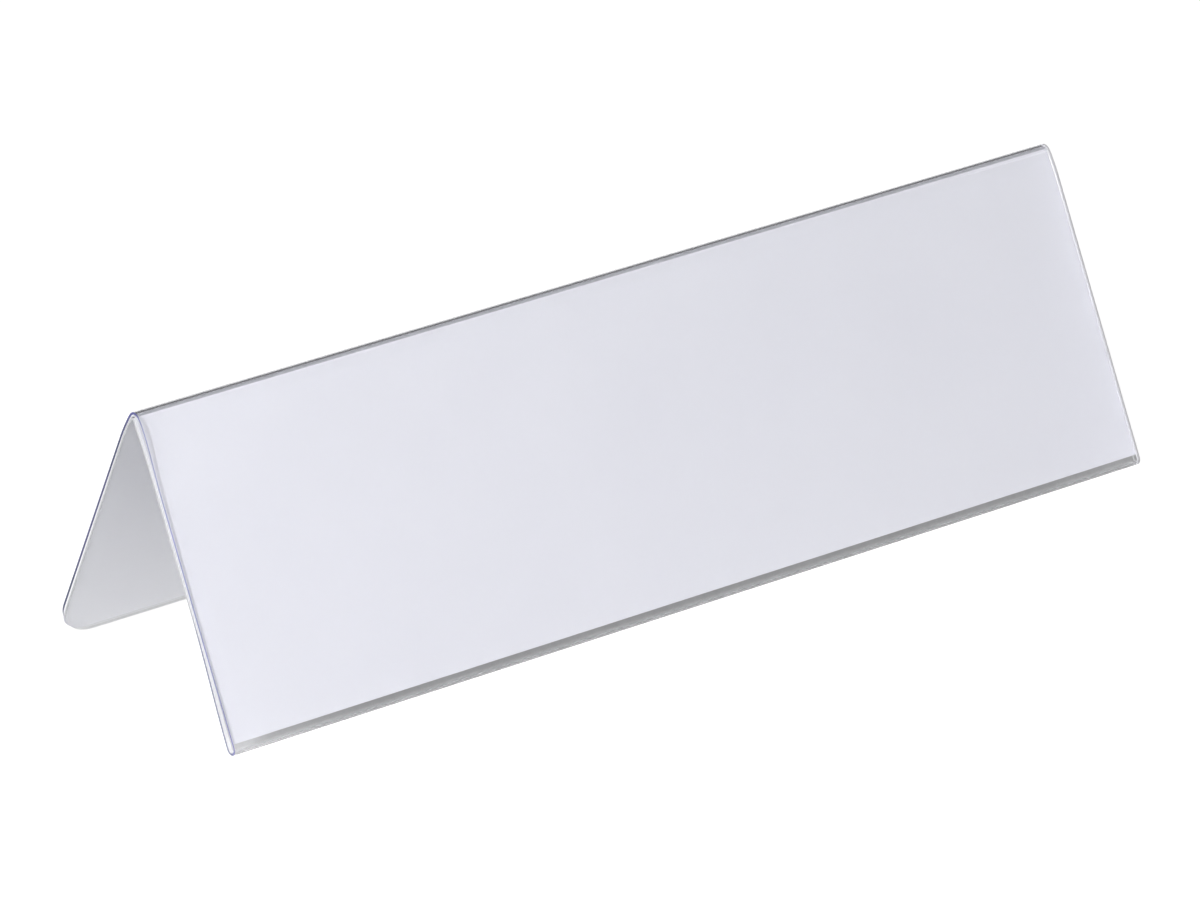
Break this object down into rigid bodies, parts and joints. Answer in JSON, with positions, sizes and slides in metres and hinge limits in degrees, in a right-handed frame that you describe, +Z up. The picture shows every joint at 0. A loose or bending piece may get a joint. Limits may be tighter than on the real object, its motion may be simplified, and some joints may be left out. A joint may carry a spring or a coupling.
{
  "type": "desktop sign holder",
  "caption": "Tent-shaped desktop sign holder: a folded sleeve of clear rigid film that stands on its two legs, with a creased blank card that slides in from either end.",
  "frame": {"origin": "middle of the footprint, on the desk", "axes": "+X along the ridge, +Z up, the front leg stands towards -Y"},
  "size_m": [0.2106, 0.059, 0.056],
  "materials": {
    "clear_film": "clear rigid film, glossy faces, bright cut edges",
    "white_card": "smooth matt white card"
  },
  "bodies": {
    "holder": {"clear_holder": "clear_film"},
    "card": {"insert_card": "white_card"}
  },
  "joints": [
    {"name": "card_slide", "type": "slide", "parent": "holder", "child": "card", "axis": [1, 0, 0], "range_m": [-0.213, 0.213]}
  ]
}
